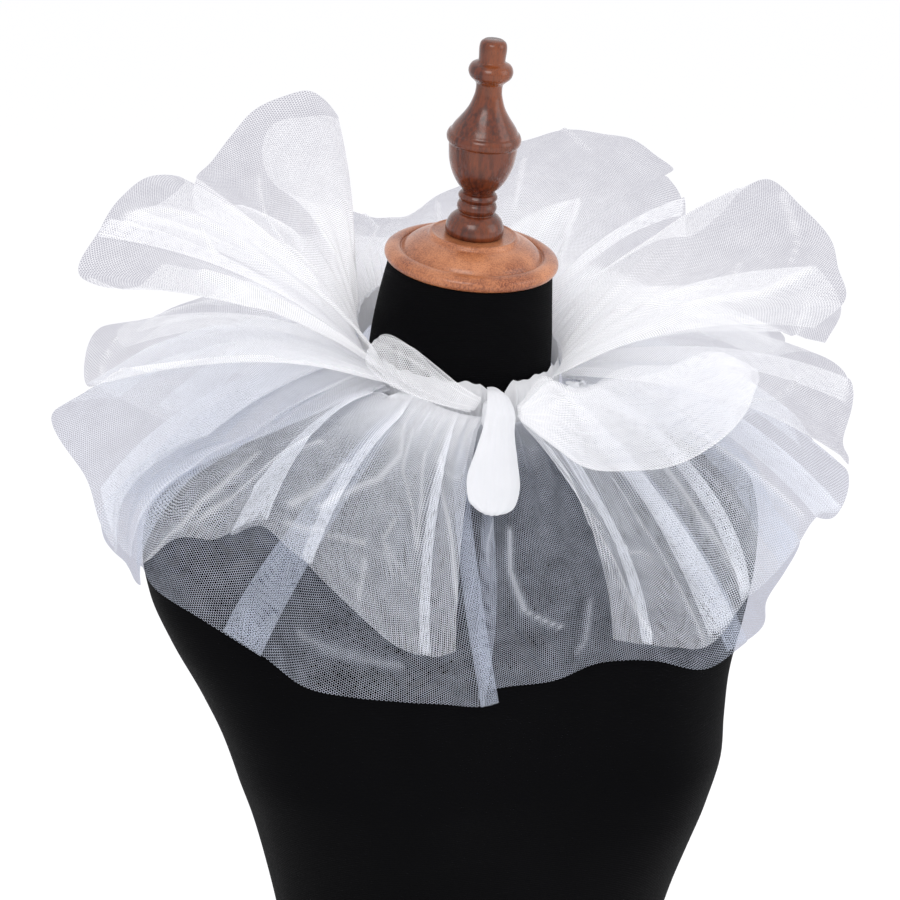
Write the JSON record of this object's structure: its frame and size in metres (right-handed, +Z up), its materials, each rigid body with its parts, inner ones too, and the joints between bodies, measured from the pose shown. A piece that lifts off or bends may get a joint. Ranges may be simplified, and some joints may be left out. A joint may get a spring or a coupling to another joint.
{
  "type": "ruff collar on a dress form",
  "caption": "Gathered white tulle ruff collar with stacked frills and a ribbon bow at the front, resting on a limbless black dress form with a turned wood neck cap and finial.",
  "frame": {"origin": "centre of the dress form's flat underside", "axes": "+Z up the dress form towards the finial, -Y towards the front of the collar and its bow, +X towards the wearer's left"},
  "size_m": [0.5153, 0.4328, 0.8263],
  "materials": {
    "jersey": "matte black stretch jersey",
    "cap_wood": "satin orange-tan stain with darker grain",
    "finial_wood": "satin red-brown stain",
    "tulle": "soft sheer net with a fine open mesh",
    "ribbon": "soft matte white ribbon"
  },
  "bodies": {
    "root": {"form_torso": "jersey", "form_cap": "cap_wood", "form_finial": "finial_wood", "neckband": "ribbon", "frill_top": "tulle", "frill_upper": "tulle", "frill_middle": "tulle", "frill_lower": "tulle", "frill_under": "tulle", "tie_knot": "ribbon", "tie_left_loop": "tulle", "tie_drop_loop": "ribbon", "tie_side_loop": "tulle"}
  },
  "joints": []
}
